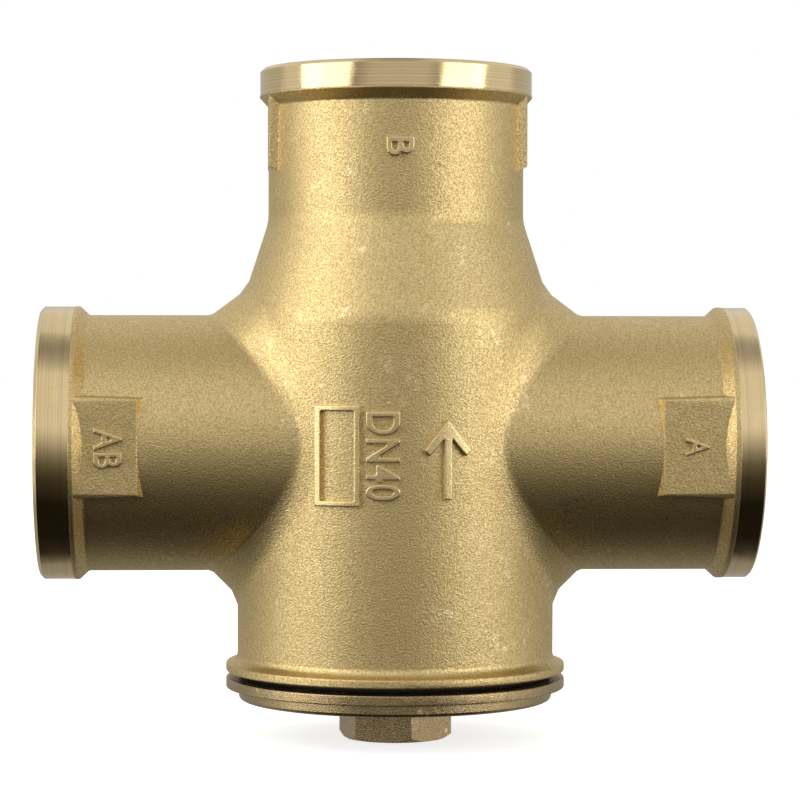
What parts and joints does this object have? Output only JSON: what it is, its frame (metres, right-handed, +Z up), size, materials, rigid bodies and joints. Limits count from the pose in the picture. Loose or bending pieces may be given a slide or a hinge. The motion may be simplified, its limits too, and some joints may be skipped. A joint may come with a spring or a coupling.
{
  "type": "thermostatic mixing valve",
  "caption": "Three-way thermostatic mixing valve: cast brass T body with threaded ports, screwed cover below and a wax-driven insert.",
  "frame": {"origin": "centre of the end face of the cover's hexagon, the lowest point of the part", "axes": "+X from port AB towards port A along the side ports, +Z up along the valve axis out of port B, +Y towards the back"},
  "size_m": [0.148, 0.0712, 0.1402],
  "materials": {
    "cast_brass": "shot-blasted casting with turned collars",
    "cover_brass": "forged and turned",
    "seal_rubber": "moulded",
    "spring_steel": "drawn stainless wire",
    "sheet_steel": "pressed stainless sheet",
    "guide_brass": "turned",
    "capsule_copper": "drawn copper",
    "wax": "wax with copper powder"
  },
  "bodies": {
    "valve": {"valve_body": "cast_brass", "hold_down_spring": "spring_steel", "flange_gasket": "seal_rubber", "seat_plate": "sheet_steel", "piston_bridge": "sheet_steel", "piston": "sheet_steel", "spring_cage": "sheet_steel", "main_spring": "spring_steel"},
    "element": {"wax_capsule": "capsule_copper", "wax_charge": "wax", "capsule_boot": "seal_rubber", "guide_collar": "guide_brass", "main_valve_disc": "sheet_steel", "main_disc_seal": "seal_rubber", "main_disc_clip": "spring_steel", "bypass_spring": "spring_steel", "bypass_clip": "spring_steel"},
    "bypass_valve": {"bypass_disc": "sheet_steel"},
    "seal": {"cover_o_ring": "seal_rubber"},
    "cover": {"cover": "cover_brass"}
  },
  "joints": [
    {"name": "element_lift", "type": "slide", "parent": "valve", "child": "element", "axis": [0, 0, 1], "range_m": [0, 0.008], "stiffness_N_per_m": 2500, "springref_m": -0.012, "deforming": ["main_spring"]},
    {"name": "bypass_overtravel", "type": "slide", "parent": "element", "child": "bypass_valve", "axis": [0, 0, -1], "range_m": [0, 0.003], "stiffness_N_per_m": 800, "springref_m": -0.004, "deforming": ["bypass_spring"]},
    {"name": "cover_travel", "type": "slide", "parent": "valve", "child": "seal", "axis": [0, 0, -1], "range_m": [0, 0.01], "deforming": ["hold_down_spring"]},
    {"name": "cover_turn", "type": "hinge", "parent": "seal", "child": "cover", "pos_m": [0, 0, 0.01425], "axis": [0, 0, -1], "range_deg": [0, 1800]}
  ],
  "couplings": [
    {"joint": "cover_travel", "follows": "cover_turn", "m_per_rad": 0.0003183}
  ]
}
